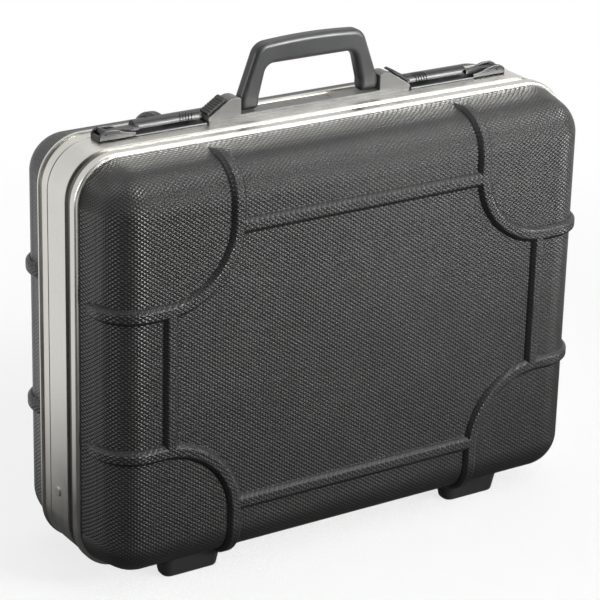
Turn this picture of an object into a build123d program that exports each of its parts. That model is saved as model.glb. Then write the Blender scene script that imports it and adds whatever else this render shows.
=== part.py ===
from build123d import *
from math import atan2, cos, degrees, hypot, radians, sin, sqrt, tan
import os

os.makedirs("parts", exist_ok=True)

# A hard tool case standing on its feet: two moulded shells, each clamped in a bent
# aluminium rail, hinged at the bottom, with two latches and a folding handle on top.
# X runs along the handle, -Y is the front, +Z is up. The origin is on the ground,
# below the middle of the case. Insets are measured inwards from the rails' lips.

# Case, measured over the rails' lips
CASE_WIDTH = 470.0
CASE_HEIGHT = 354.0
CORNER_RADIUS = 39.0
FOOT_DROP = 11.0  # the lips' height above the ground

# Rails, from front to back
FRONT_LIP_WIDTH = 8.5
FRONT_GROOVE_WIDTH = 10.1
WIDE_BAND_WIDTH = 28.9
PARTING_GAP = 0.6
NARROW_BAND_WIDTH = 9.3
BACK_GROOVE_WIDTH = 3.2
BACK_LIP_WIDTH = 3.8
BAND_INSET = 1.2
FRONT_GROOVE_INSET = 3.0
BACK_GROOVE_INSET = 2.2
LIP_THICKNESS = 3.2
LIP_ROUND = 2.4
RAIL_WALL = 2.8  # the bands' thickness
RAIL_FLANGE = 1.6  # the leg of the shell's channel that lies inside the case
RAIL_CHAMFER = 0.4
RAIL_JOINT_GAP = 0.3  # butt joint at the middle of the bottom
CHANNEL_DEPTH = 5.5
TONGUE_REACH = 4.0
TONGUE_THICKNESS = 1.8
TONGUE_ROOT = 4.9  # how far the tongue runs back over the band
BODY_GAP = 0.3  # between pieces that move past each other

# Shells
SHELL_WALL = 3.0
SHELL_FIT = 0.1  # between the shell's edge and its channel
SHELL_DEPTH = 49.0  # from the rail to the flat face
SHELL_DRAFT = 10.0  # degrees
EDGE_RADIUS = 31.0

# Ribs moulded into the shells, set back from the sides and the top of the case
RIB_BASE = 14.0
RIB_TOP = 7.0
RIB_HEIGHT = 4.2
RIB_ROOT = 1.2  # how deep the rib is sunk in the shell's surface
RIB_SHOULDER = 2.6
RIB_RUN_OUT = 38.0  # degrees of the edge's arc over which a rib dives into the wall
CORNER_RIB_SIDE_SETBACK = 117.2
CORNER_RIB_TOP_SETBACK = 117.4
CORNER_RIB_RADIUS = 65.5
SIDE_RIB_SETBACK = 57.0
LONG_RIB_SETBACK = 57.6

# Feet
FOOT_LENGTH = 60.0
FOOT_DEPTH = 26.5
FOOT_SIDE_SETBACK = 93.5  # from the case's side to a foot's middle
FOOT_SETBACK = 1.5  # from the rail's edge
FOOT_ROOT = 12.0  # how far a foot is cut from above the lips, to meet the shell
FOOT_END_RADIUS = 11.5
FOOT_TAPER = 12.0  # degrees
FOOT_EDGE_RADIUS = 3.5

# Hinges
HINGE_SIDE_SETBACK = 105.0  # from the case's side to a hinge's middle
HINGE_WIDTH = 90.0
HINGE_KNUCKLES = 5
LEAF_THICKNESS = 1.5
FRONT_LEAF_WIDTH = 15.0
HINGE_PIN_RADIUS = 1.5
PIN_CLEARANCE = 0.05  # radial, at every pivot

# Lid stays: two links as long as the pivots' distance from the hinge
STAY_FRONT_PIVOT_Y = 3.4
STAY_BACK_PIVOT_Y = 24.3
STAY_PIVOT_HEIGHT = 60.0  # of the front pivot above the lips' bottom
LINK_THICKNESS = 1.5
LINK_WIDTH = 12.0
LINK_STANDOFF = 0.6  # from the rails' inner flanges
STAY_PIN_RADIUS = 2.0
STAY_SHOULDER_RADIUS = 3.0
STAY_HEAD_RADIUS = 3.2
STAY_HEAD_HEIGHT = 0.9
STAY_SHANK_RADIUS = 2.2
STAY_CAP_RADIUS = 4.0
STAY_CAP_HEIGHT = 1.0

# Top fittings on the wide band: the handle's base on its plate, and a base for each latch
FITTING_FRONT_Y = -0.2
FITTING_BACK_Y = 14.7
PLATE_THICKNESS = 2.6
HANDLE_BASE_HALF = 98.0
BLOCK_TOE_SETBACK = 0.5
HANDLE_BASE_TOP = 4.0  # above the band
FITTING_CORNER = 1.5
BADGE_LENGTH = 44.0
BADGE_WIDTH = 7.0
BADGE_DEPTH = 0.4

# Handle, a bow that turns on a pin in each block
HANDLE_DEPTH = 13.0
HANDLE_TOP = 59.8  # above the lips
HANDLE_CROWN = 2.5
GRIP_THICKNESS = 20.0
HANDLE_LEG_OUTER = 66.4
HANDLE_LEG_INNER = 48.5
HANDLE_SHOULDER_X = 50.4
HANDLE_OPENING_X = 42.0
HANDLE_KNEE = 15.0  # the legs' straight part above the band
HANDLE_CORNER_RADIUS = 14.0
HANDLE_OPENING_RADIUS = 9.0
HANDLE_EDGE_RADIUS = 4.5
HANDLE_PIVOT_HEIGHT = 11.0
HANDLE_PIN_RADIUS = 2.5
HANDLE_PIN_INNER = 54.0
HANDLE_PIN_OUTER = 75.0

# Blocks at the ends of the handle's base, seen from the front, above the band
BLOCK_INNER = 67.0
BLOCK_HEIGHT = 16.8
BLOCK_CREST = 18.4
BLOCK_SHOULDER_X = 79.0
BLOCK_TOE_X = HANDLE_BASE_HALF - BLOCK_TOE_SETBACK
BLOCK_TOE_HEIGHT = 5.0
BLOCK_EDGE_RADIUS = 0.8

# Release buttons, pressed into the blocks' slopes
BUTTON_LENGTH = 13.0
BUTTON_WIDTH = 7.0
BUTTON_THICKNESS = 3.4
BUTTON_PROUD = 1.2
BUTTON_TRAVEL = 1.0
BUTTON_FLANGE = 0.9
BUTTON_FLANGE_THICKNESS = 1.0
BUTTON_GROOVES = 6
BUTTON_GROOVE_PITCH = 1.9
BUTTON_GROOVE_WIDTH = 0.8
BUTTON_GROOVE_DEPTH = 0.5
BUTTON_CORNER = 1.2

# Latches, measured on the right-hand one
FITTING_JOINT = 0.5  # between the handle's base and a latch's base
LATCH_BASE_THICKNESS = 1.6
LATCH_OUTER = 196.0
LATCH_CORNER = 3.0
LEVER_PIVOT_X = 189.0
LEVER_PIVOT_HEIGHT = 5.2  # above the band
LEVER_RADIUS = 5.8
LEVER_WALL = 1.5
LEVER_FRONT_Y = 7.0
LEVER_BOTTOM = 3.5
LEVER_TIP_X = 100.0
LEVER_BODY_END = 160.0
LEVER_NECK_THICKNESS = 3.0
LEVER_NECK_WIDTH = 6.2
LEVER_KNUCKLE_RADIUS = 3.1
LEVER_PIN_RADIUS = 1.25
LEVER_PIN_END = 0.6
LEVER_GROOVES = 5
LEVER_GROOVE_PITCH = 2.6
LEVER_GROOVE_WIDTH = 1.1
LEVER_GROOVE_DEPTH = 0.7
LEVER_GROOVE_SLANT = 20.0  # degrees
CHEEK_THICKNESS = 2.2
CHEEK_TOP = 8.6  # above the band
CHEEK_END_HEIGHT = 4.2
CHEEK_START_X = 178.0
CHEEK_CREST_X = (183.0, 190.5)
TOOTH_START = 106.0
TOOTH_LENGTH = 22.0
TOOTH_DROP = 1.0

# Keepers on the lid's rail
KEEPER_START = 104.0
KEEPER_LENGTH = 34.0
KEEPER_FLOOR = 0.5
KEEPER_RIDGE = 0.7
KEEPER_RIDGE_HEIGHT = 2.2
KEEPER_PAD_HEIGHT = 1.8
KEEPER_SLOTS = 6
KEEPER_SLOT_WIDTH = 1.6

# Seal, and joint plates of the rails
SEAL_DEPTH = 2.4
SPLICE_HALF = 22.0
SPLICE_THICKNESS = 1.5

# ---------------------------------------------------------------- derived places

FRAME_DEPTH = (
    FRONT_LIP_WIDTH
    + FRONT_GROOVE_WIDTH
    + WIDE_BAND_WIDTH
    + PARTING_GAP
    + NARROW_BAND_WIDTH
    + BACK_GROOVE_WIDTH
    + BACK_LIP_WIDTH
)
RAIL_FRONT_Y = -FRAME_DEPTH / 2
FRONT_GROOVE_Y = RAIL_FRONT_Y + FRONT_LIP_WIDTH
WIDE_BAND_Y = FRONT_GROOVE_Y + FRONT_GROOVE_WIDTH
PARTING_FRONT_Y = WIDE_BAND_Y + WIDE_BAND_WIDTH
PARTING_BACK_Y = PARTING_FRONT_Y + PARTING_GAP
BACK_GROOVE_Y = PARTING_BACK_Y + NARROW_BAND_WIDTH
BACK_LIP_Y = BACK_GROOVE_Y + BACK_GROOVE_WIDTH
RAIL_BACK_Y = FRAME_DEPTH / 2

LIP_BOTTOM = FOOT_DROP
LIP_TOP = LIP_BOTTOM + CASE_HEIGHT
MIDDLE_Z = (LIP_BOTTOM + LIP_TOP) / 2
BAND_TOP = LIP_TOP - BAND_INSET
BAND_BOTTOM = LIP_BOTTOM + BAND_INSET
BAND_INNER_INSET = BAND_INSET + RAIL_WALL
CHANNEL_INNER_INSET = LIP_THICKNESS + SHELL_WALL + 2 * SHELL_FIT
FLANGE_INSET = CHANNEL_INNER_INSET + RAIL_FLANGE
TONGUE_INSET = BAND_INNER_INSET + 0.1 + BODY_GAP
SEAL_SEAT_Y = PARTING_FRONT_Y + TONGUE_REACH + BODY_GAP + SEAL_DEPTH

SHELL_INSET = LIP_THICKNESS + SHELL_FIT
FACE_Y = RAIL_FRONT_Y - SHELL_DEPTH

# Where the shell's rounded edge is centred: its depth, and its inset from the lips
EDGE_Y = FACE_Y + EDGE_RADIUS
EDGE_INSET = (
    SHELL_INSET
    + tan(radians(SHELL_DRAFT)) * (RAIL_FRONT_Y - EDGE_Y)
    + EDGE_RADIUS / cos(radians(SHELL_DRAFT))
)
CORNER_RIB_X = CASE_WIDTH / 2 - CORNER_RIB_SIDE_SETBACK
CORNER_RIB_Z = CASE_HEIGHT / 2 - CORNER_RIB_TOP_SETBACK
SIDE_RIB_X = CASE_WIDTH / 2 - SIDE_RIB_SETBACK
LONG_RIB_Z = CASE_HEIGHT / 2 - LONG_RIB_SETBACK
FOOT_X = CASE_WIDTH / 2 - FOOT_SIDE_SETBACK

KNUCKLE_RADIUS = HINGE_PIN_RADIUS + PIN_CLEARANCE + LEAF_THICKNESS + 0.1
HINGE_X = CASE_WIDTH / 2 - HINGE_SIDE_SETBACK
HINGE_Y = (PARTING_FRONT_Y + PARTING_BACK_Y) / 2
HINGE_Z = BAND_BOTTOM - KNUCKLE_RADIUS - BODY_GAP

FRONT_PIVOT_Z = LIP_BOTTOM + STAY_PIVOT_HEIGHT
LINK_LENGTH = hypot(HINGE_Y - STAY_FRONT_PIVOT_Y, FRONT_PIVOT_Z - HINGE_Z)
BACK_PIVOT_Z = HINGE_Z + sqrt(LINK_LENGTH**2 - (STAY_BACK_PIVOT_Y - HINGE_Y) ** 2)
MIDDLE_PIVOT = (STAY_FRONT_PIVOT_Y + STAY_BACK_PIVOT_Y - HINGE_Y, FRONT_PIVOT_Z + BACK_PIVOT_Z - HINGE_Z)
FRONT_LINK_INSET = FLANGE_INSET + LINK_STANDOFF
BACK_LINK_INSET = FRONT_LINK_INSET + LINK_THICKNESS + BODY_GAP

FITTING_Y = (FITTING_FRONT_Y + FITTING_BACK_Y) / 2
FITTING_WIDTH = FITTING_BACK_Y - FITTING_FRONT_Y
PLATE_TOP = BAND_TOP + PLATE_THICKNESS
HANDLE_PIVOT_Z = BAND_TOP + HANDLE_PIVOT_HEIGHT
LEVER_PIVOT_Z = BAND_TOP + LEVER_PIVOT_HEIGHT
LEVER_AXIS_Y = LEVER_FRONT_Y + LEVER_RADIUS
LEVER_AXIS_Z = BAND_TOP + LEVER_BOTTOM

# The slope on the right-hand block that the release button is pressed into
SLOPE_RUN = BLOCK_TOE_X - BLOCK_SHOULDER_X
SLOPE_FALL = BLOCK_HEIGHT - BLOCK_TOE_HEIGHT
SLOPE = Plane(
    origin=(
        (BLOCK_SHOULDER_X + BLOCK_TOE_X) / 2,
        FITTING_Y,
        BAND_TOP + (BLOCK_HEIGHT + BLOCK_TOE_HEIGHT) / 2,
    ),
    x_dir=(SLOPE_RUN, 0, -SLOPE_FALL),
    z_dir=(SLOPE_FALL, 0, SLOPE_RUN),
)


def case_outline(inset):
    """A rounded rectangle in the XZ plane, parallel to the lips and inside them."""
    with Locations((0, MIDDLE_Z)):
        RectangleRounded(
            CASE_WIDTH - 2 * inset,
            CASE_HEIGHT - 2 * inset,
            CORNER_RADIUS - inset,
        )


# ---------------------------------------------------------------- shells

RUN_OUT_ANGLE = 90 - SHELL_DRAFT + RIB_RUN_OUT


def edge_depth(angle, radius=EDGE_RADIUS):
    """Depth of a point of the rounded edge, at an angle from the flat face."""
    return EDGE_Y - radius * cos(radians(angle))


def edge_inset(angle, radius=EDGE_RADIUS):
    """Inset of a point of the rounded edge, at an angle from the flat face."""
    return EDGE_INSET - radius * sin(radians(angle))


def shell_form(inset, radius, root):
    """A tub with rounded edges, from its root in the rail out to its flat face."""
    wall_end = 90 - SHELL_DRAFT
    with BuildPart() as form:
        # Half of the rounded edge, swept from the bottom's middle to the top's
        with BuildSketch(Plane(origin=(0, 0, LIP_BOTTOM), x_dir=(0, 1, 0), z_dir=(1, 0, 0))):
            with BuildLine():
                Polyline(
                    (edge_depth(0, radius), EDGE_INSET),
                    (root, EDGE_INSET),
                    (root, inset),
                    (RAIL_FRONT_Y, inset),
                    (edge_depth(wall_end, radius), edge_inset(wall_end, radius)),
                )
                ThreePointArc(
                    (edge_depth(wall_end, radius), edge_inset(wall_end, radius)),
                    (edge_depth(wall_end / 2, radius), edge_inset(wall_end / 2, radius)),
                    (edge_depth(0, radius), EDGE_INSET),
                )
            make_face()
        with BuildLine(Plane.XZ) as half_outline:
            FilletPolyline(
                (0, LIP_BOTTOM),
                (CASE_WIDTH / 2, LIP_BOTTOM),
                (CASE_WIDTH / 2, LIP_TOP),
                (0, LIP_TOP),
                radius=CORNER_RADIUS,
            )
        sweep(path=half_outline.wires()[0])
        mirror(about=Plane.YZ)
        with BuildSketch(Plane.XZ.offset(-root)):
            case_outline(EDGE_INSET)
        extrude(amount=root - edge_depth(0, radius))
    return form.part


def over_top_edge(angle):
    """A point of the corner rib's leg that crosses the top edge."""
    return Vector(-CORNER_RIB_X, edge_depth(angle), LIP_TOP - edge_inset(angle))


def over_side_edge(angle):
    """A point of the corner rib's leg that crosses the side edge."""
    side = CASE_WIDTH / 2 - edge_inset(angle)
    return Vector(-side, edge_depth(angle), MIDDLE_Z + CORNER_RIB_Z)


def rib_section():
    """A rib's cross-section, with its base on the shell's surface and +Y outwards."""
    flank = (RIB_BASE - RIB_TOP) / 2 / RIB_HEIGHT
    foot = RIB_BASE / 2 + flank * RIB_ROOT
    with BuildSketch() as section:
        with BuildLine():
            Polyline(
                (-foot, -RIB_ROOT),
                (foot, -RIB_ROOT),
                (RIB_TOP / 2, RIB_HEIGHT),
                (-RIB_TOP / 2, RIB_HEIGHT),
                close=True,
            )
        make_face()
        fillet(section.vertices().group_by(Axis.Y)[-1], RIB_SHOULDER)
    return section.sketch


# One corner rib: over the top edge, round the corner panel and over the side edge
arc_x = -CORNER_RIB_X - CORNER_RIB_RADIUS
arc_z = MIDDLE_Z + CORNER_RIB_Z + CORNER_RIB_RADIUS
with BuildLine() as corner_rib_path:
    ThreePointArc(over_top_edge(RUN_OUT_ANGLE), over_top_edge(RUN_OUT_ANGLE / 2), over_top_edge(0))
    Line(over_top_edge(0), (-CORNER_RIB_X, FACE_Y, arc_z))
    ThreePointArc(
        (-CORNER_RIB_X, FACE_Y, arc_z),
        (
            arc_x + CORNER_RIB_RADIUS * cos(radians(45)),
            FACE_Y,
            arc_z - CORNER_RIB_RADIUS * sin(radians(45)),
        ),
        (arc_x, FACE_Y, MIDDLE_Z + CORNER_RIB_Z),
    )
    Line((arc_x, FACE_Y, MIDDLE_Z + CORNER_RIB_Z), over_side_edge(0))
    ThreePointArc(over_side_edge(0), over_side_edge(RUN_OUT_ANGLE / 2), over_side_edge(RUN_OUT_ANGLE))

rib_start = Plane(
    origin=over_top_edge(RUN_OUT_ANGLE),
    x_dir=(1, 0, 0),
    z_dir=corner_rib_path.line % 0,
)
with BuildPart() as rib_net:
    with BuildSketch(rib_start):
        add(rib_section())
    sweep(path=corner_rib_path.wires()[0])
    mirror(about=Plane.YZ)
    mirror(about=Plane.XY.offset(MIDDLE_Z))
    # Straight ribs join the corner ribs, level with their tops
    for rib_z in (MIDDLE_Z + LONG_RIB_Z, MIDDLE_Z - LONG_RIB_Z):
        with BuildSketch(Plane(origin=(-CORNER_RIB_X, FACE_Y, rib_z), x_dir=(0, 0, 1), z_dir=(1, 0, 0))):
            add(rib_section())
    extrude(amount=2 * CORNER_RIB_X)
    for rib_x in (-SIDE_RIB_X, SIDE_RIB_X):
        rib_foot = (rib_x, FACE_Y, MIDDLE_Z - CORNER_RIB_Z)
        with BuildSketch(Plane(origin=rib_foot, x_dir=(-1, 0, 0), z_dir=(0, 0, 1))):
            add(rib_section())
    extrude(amount=2 * CORNER_RIB_Z)

# The outer form, solid, and the hollow a wall's thickness inside it
shell_outer = shell_form(SHELL_INSET, EDGE_RADIUS, RAIL_FRONT_Y + CHANNEL_DEPTH - SHELL_FIT)
shell_hollow = shell_form(SHELL_INSET + SHELL_WALL, EDGE_RADIUS - SHELL_WALL, RAIL_FRONT_Y + CHANNEL_DEPTH)

with BuildPart() as front_shell:
    add(shell_outer)
    add(rib_net.part)
    add(shell_hollow, mode=Mode.SUBTRACT)
front_shell.part.label = "front_shell"
export_step(front_shell.part, "parts/front_shell.step")

with BuildPart() as back_shell:
    mirror(front_shell.part, about=Plane.XZ)
back_shell.part.label = "back_shell"
export_step(back_shell.part, "parts/back_shell.step")

# ---------------------------------------------------------------- feet

# Two feet under each shell, their tops fitted to the shell's surface
with BuildPart() as front_feet:
    with BuildSketch(Plane.XY.offset(LIP_BOTTOM + FOOT_ROOT)):
        with Locations((FOOT_X, RAIL_FRONT_Y - FOOT_SETBACK - FOOT_DEPTH / 2)):
            RectangleRounded(FOOT_LENGTH, FOOT_DEPTH, FOOT_END_RADIUS)
    extrude(amount=-(LIP_BOTTOM + FOOT_ROOT), taper=FOOT_TAPER)
    fillet(front_feet.faces().sort_by(Axis.Z)[0].edges(), FOOT_EDGE_RADIUS)
    mirror(about=Plane.YZ)
    add(shell_outer, mode=Mode.SUBTRACT)
    add(rib_net.part, mode=Mode.SUBTRACT)
front_feet.part.label = "front_feet"
export_step(front_feet.part, "parts/front_feet.step")

with BuildPart() as back_feet:
    mirror(front_feet.part, about=Plane.XZ)
back_feet.part.label = "back_feet"
export_step(back_feet.part, "parts/back_feet.step")

# ---------------------------------------------------------------- joint plates and stay pins


def turned_pin(place, steps):
    """A turned pin along the normal of a place, from (start, end, radius) steps."""
    with BuildPart() as pin:
        for start, end, radius in steps:
            with BuildSketch(place.offset(start)):
                Circle(radius)
            extrude(amount=end - start)
    return pin.part


FRONT_LEAF_EDGE = HINGE_Y - KNUCKLE_RADIUS - BODY_GAP
BACK_LEAF_EDGE = HINGE_Y + KNUCKLE_RADIUS + BODY_GAP
FRONT_LEAF_END = FRONT_LEAF_EDGE - FRONT_LEAF_WIDTH
BACK_LEAF_END = BACK_GROOVE_Y - BODY_GAP
LEAF_UNDERSIDE = BAND_BOTTOM - LEAF_THICKNESS

# Plates inside the rails that bridge the joint at the middle of the bottom
FRONT_SPLICE_Y = (WIDE_BAND_Y + 2.5, PARTING_FRONT_Y - TONGUE_ROOT - 1)
BACK_SPLICE_Y = (SEAL_SEAT_Y + 1, RAIL_BACK_Y - 2.5)
FRONT_SPLICE_Z = LIP_BOTTOM + BAND_INNER_INSET + SPLICE_THICKNESS
BACK_SPLICE_Z = LIP_BOTTOM + FLANGE_INSET + SPLICE_THICKNESS


def splice_plate(span_y, top):
    """One joint plate."""
    with BuildPart() as plate:
        with BuildSketch(Plane.XY.offset(top - SPLICE_THICKNESS)):
            with Locations((0, (span_y[0] + span_y[1]) / 2)):
                RectangleRounded(2 * SPLICE_HALF, span_y[1] - span_y[0], SPLICE_THICKNESS)
        extrude(amount=SPLICE_THICKNESS)
    return plate.part


with BuildPart() as front_splice:
    add(splice_plate(FRONT_SPLICE_Y, FRONT_SPLICE_Z))
front_splice.part.label = "front_splice"
export_step(front_splice.part, "parts/front_splice.step")

with BuildPart() as back_splice:
    add(splice_plate(BACK_SPLICE_Y, BACK_SPLICE_Z))
back_splice.part.label = "back_splice"
export_step(back_splice.part, "parts/back_splice.step")

# The stays' pins, measured inwards from the right-hand lip, and their mirror images
FRONT_LINK_BACK = FRONT_LINK_INSET + LINK_THICKNESS
BACK_LINK_BACK = BACK_LINK_INSET + LINK_THICKNESS

with BuildPart() as stay_front_pins:
    add(turned_pin(
        Plane(origin=(CASE_WIDTH / 2, STAY_FRONT_PIVOT_Y, FRONT_PIVOT_Z), z_dir=(-1, 0, 0)),
        (
            (BAND_INSET - STAY_CAP_HEIGHT, BAND_INSET, STAY_CAP_RADIUS),
            (BAND_INSET, BAND_INNER_INSET, STAY_SHANK_RADIUS),
            (BAND_INNER_INSET, FRONT_LINK_INSET - BODY_GAP, STAY_SHOULDER_RADIUS),
            (FRONT_LINK_INSET - BODY_GAP, FRONT_LINK_BACK + BODY_GAP, STAY_PIN_RADIUS),
            (FRONT_LINK_BACK + BODY_GAP, FRONT_LINK_BACK + BODY_GAP + STAY_HEAD_HEIGHT, STAY_HEAD_RADIUS),
        ),
    ))
    mirror(about=Plane.YZ)
stay_front_pins.part.label = "stay_front_pins"
export_step(stay_front_pins.part, "parts/stay_front_pins.step")

with BuildPart() as stay_back_pins:
    add(turned_pin(
        Plane(origin=(CASE_WIDTH / 2, STAY_BACK_PIVOT_Y, BACK_PIVOT_Z), z_dir=(-1, 0, 0)),
        (
            (BAND_INNER_INSET, FLANGE_INSET, STAY_SHANK_RADIUS),
            (FLANGE_INSET, BACK_LINK_INSET - BODY_GAP, STAY_SHOULDER_RADIUS),
            (BACK_LINK_INSET - BODY_GAP, BACK_LINK_BACK + BODY_GAP, STAY_PIN_RADIUS),
            (BACK_LINK_BACK + BODY_GAP, BACK_LINK_BACK + BODY_GAP + STAY_HEAD_HEIGHT, STAY_HEAD_RADIUS),
        ),
    ))
    mirror(about=Plane.YZ)
stay_back_pins.part.label = "stay_back_pins"
export_step(stay_back_pins.part, "parts/stay_back_pins.step")

# ---------------------------------------------------------------- rails

# The lips' outline, from the joint at the bottom right round and back to it
with BuildLine(Plane.XZ) as rail_path:
    FilletPolyline(
        (RAIL_JOINT_GAP / 2, LIP_BOTTOM),
        (CASE_WIDTH / 2, LIP_BOTTOM),
        (CASE_WIDTH / 2, LIP_TOP),
        (-CASE_WIDTH / 2, LIP_TOP),
        (-CASE_WIDTH / 2, LIP_BOTTOM),
        (-RAIL_JOINT_GAP / 2, LIP_BOTTOM),
        radius=CORNER_RADIUS,
    )

# A rail's section is drawn with Y along its width and the inset from the lips upwards
RAIL_SECTION = Plane(origin=(RAIL_JOINT_GAP / 2, 0, LIP_BOTTOM), x_dir=(0, 1, 0), z_dir=(1, 0, 0))
FRONT_CHANNEL_FLOOR = RAIL_FRONT_Y + CHANNEL_DEPTH
BACK_CHANNEL_FLOOR = RAIL_BACK_Y - CHANNEL_DEPTH
GROOVE_WALL_INSET = FRONT_GROOVE_INSET + RAIL_FLANGE
TONGUE_Y = PARTING_FRONT_Y + TONGUE_REACH
TONGUE_ROOT_Y = PARTING_FRONT_Y - TONGUE_ROOT

with BuildPart() as front_rail:
    with BuildSketch(RAIL_SECTION) as front_rail_section:
        with BuildLine():
            Polyline(
                (RAIL_FRONT_Y, LIP_THICKNESS),
                (RAIL_FRONT_Y, 0),
                (FRONT_GROOVE_Y, 0),
                (FRONT_GROOVE_Y, FRONT_GROOVE_INSET),
                (WIDE_BAND_Y, FRONT_GROOVE_INSET),
                (WIDE_BAND_Y, BAND_INSET),
                (PARTING_FRONT_Y, BAND_INSET),
                (PARTING_FRONT_Y, TONGUE_INSET),
                (TONGUE_Y, TONGUE_INSET),
                (TONGUE_Y, TONGUE_INSET + TONGUE_THICKNESS),
                (TONGUE_ROOT_Y, TONGUE_INSET + TONGUE_THICKNESS),
                (TONGUE_ROOT_Y, BAND_INNER_INSET),
                (WIDE_BAND_Y + RAIL_FLANGE, BAND_INNER_INSET),
                (WIDE_BAND_Y, GROOVE_WALL_INSET),
                (FRONT_CHANNEL_FLOOR + RAIL_FLANGE, GROOVE_WALL_INSET),
                (FRONT_CHANNEL_FLOOR + RAIL_FLANGE, FLANGE_INSET),
                (RAIL_FRONT_Y + RAIL_FLANGE, FLANGE_INSET),
                (RAIL_FRONT_Y + RAIL_FLANGE, CHANNEL_INNER_INSET),
                (FRONT_CHANNEL_FLOOR, CHANNEL_INNER_INSET),
                (FRONT_CHANNEL_FLOOR, LIP_THICKNESS),
                close=True,
            )
        make_face()
        fillet(front_rail_section.vertices().group_by(Axis.Y)[0].sort_by(Axis.X)[0], LIP_ROUND)
        chamfer(front_rail_section.vertices().group_by(Axis.Y)[0].sort_by(Axis.X)[-1], RAIL_CHAMFER)
        chamfer(
            front_rail_section.vertices().filter_by_position(Axis.Y, BAND_INSET - 0.1, BAND_INSET + 0.1),
            RAIL_CHAMFER,
        )
    sweep(path=rail_path.wires()[0])
    add(stay_front_pins.part, mode=Mode.SUBTRACT)
front_rail.part.label = "front_rail"
export_step(front_rail.part, "parts/front_rail.step")

with BuildPart() as back_rail:
    with BuildSketch(RAIL_SECTION) as back_rail_section:
        with BuildLine():
            Polyline(
                (RAIL_BACK_Y, LIP_THICKNESS),
                (RAIL_BACK_Y, 0),
                (BACK_LIP_Y, 0),
                (BACK_LIP_Y, BACK_GROOVE_INSET),
                (BACK_GROOVE_Y, BACK_GROOVE_INSET),
                (BACK_GROOVE_Y, BAND_INSET),
                (PARTING_BACK_Y, BAND_INSET),
                (PARTING_BACK_Y, BAND_INNER_INSET),
                (SEAL_SEAT_Y, BAND_INNER_INSET),
                (SEAL_SEAT_Y, FLANGE_INSET),
                (RAIL_BACK_Y - RAIL_FLANGE, FLANGE_INSET),
                (RAIL_BACK_Y - RAIL_FLANGE, CHANNEL_INNER_INSET),
                (BACK_CHANNEL_FLOOR, CHANNEL_INNER_INSET),
                (BACK_CHANNEL_FLOOR, LIP_THICKNESS),
                close=True,
            )
        make_face()
        fillet(back_rail_section.vertices().group_by(Axis.Y)[0].sort_by(Axis.X)[-1], LIP_ROUND)
        chamfer(back_rail_section.vertices().group_by(Axis.Y)[0].sort_by(Axis.X)[0], RAIL_CHAMFER)
        chamfer(
            back_rail_section.vertices().filter_by_position(Axis.Y, BAND_INSET - 0.1, BAND_INSET + 0.1),
            RAIL_CHAMFER,
        )
    sweep(path=rail_path.wires()[0])
    add(stay_back_pins.part, mode=Mode.SUBTRACT)
back_rail.part.label = "back_rail"
export_step(back_rail.part, "parts/back_rail.step")

# The seal lies on the back rail's ledge, where the front rail's tongue meets it
with BuildPart() as seal:
    with BuildSketch(Plane.XZ.offset(-SEAL_SEAT_Y)):
        case_outline(TONGUE_INSET)
        with Locations((0, MIDDLE_Z)):
            RectangleRounded(
                CASE_WIDTH - 2 * (TONGUE_INSET + TONGUE_THICKNESS),
                CASE_HEIGHT - 2 * (TONGUE_INSET + TONGUE_THICKNESS),
                CORNER_RADIUS - TONGUE_INSET - TONGUE_THICKNESS,
                mode=Mode.SUBTRACT,
            )
    extrude(amount=SEAL_DEPTH)
seal.part.label = "seal"
export_step(seal.part, "parts/seal.step")

# ---------------------------------------------------------------- hinges

KNUCKLE_PITCH = HINGE_WIDTH / HINGE_KNUCKLES


def hinge_leaves(edge, end, knuckles, bore):
    """The leaves of both hinges on one rail, with every second knuckle."""
    with BuildPart() as leaves:
        with BuildSketch(Plane.XY.offset(LEAF_UNDERSIDE)):
            with Locations((HINGE_X, (edge + end) / 2)):
                Rectangle(HINGE_WIDTH, abs(end - edge))
        extrude(amount=LEAF_THICKNESS)
        for knuckle in knuckles:
            knuckle_start = HINGE_X - HINGE_WIDTH / 2 + knuckle * KNUCKLE_PITCH + BODY_GAP / 2
            with BuildSketch(Plane.YZ.offset(knuckle_start)):
                with Locations((HINGE_Y, HINGE_Z)):
                    Circle(KNUCKLE_RADIUS)
                with Locations(((HINGE_Y + edge) / 2, BAND_BOTTOM - LEAF_THICKNESS / 2)):
                    Rectangle(abs(edge - HINGE_Y), LEAF_THICKNESS)
                with Locations((HINGE_Y, HINGE_Z)):
                    Circle(bore, mode=Mode.SUBTRACT)
            extrude(amount=KNUCKLE_PITCH - BODY_GAP)
        mirror(about=Plane.YZ)
    return leaves.part


with BuildPart() as front_hinge_leaves:
    add(hinge_leaves(
        FRONT_LEAF_EDGE,
        FRONT_LEAF_END,
        range(0, HINGE_KNUCKLES, 2),
        HINGE_PIN_RADIUS,
    ))
front_hinge_leaves.part.label = "front_hinge_leaves"
export_step(front_hinge_leaves.part, "parts/front_hinge_leaves.step")

with BuildPart() as back_hinge_leaves:
    add(hinge_leaves(
        BACK_LEAF_EDGE,
        BACK_LEAF_END,
        range(1, HINGE_KNUCKLES, 2),
        HINGE_PIN_RADIUS + PIN_CLEARANCE,
    ))
back_hinge_leaves.part.label = "back_hinge_leaves"
export_step(back_hinge_leaves.part, "parts/back_hinge_leaves.step")

with BuildPart() as hinge_pins:
    with BuildSketch(Plane.YZ.offset(HINGE_X - HINGE_WIDTH / 2)):
        with Locations((HINGE_Y, HINGE_Z)):
            Circle(HINGE_PIN_RADIUS)
    extrude(amount=HINGE_WIDTH)
    mirror(about=Plane.YZ)
hinge_pins.part.label = "hinge_pins"
export_step(hinge_pins.part, "parts/hinge_pins.step")

# ---------------------------------------------------------------- lid stays


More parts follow.
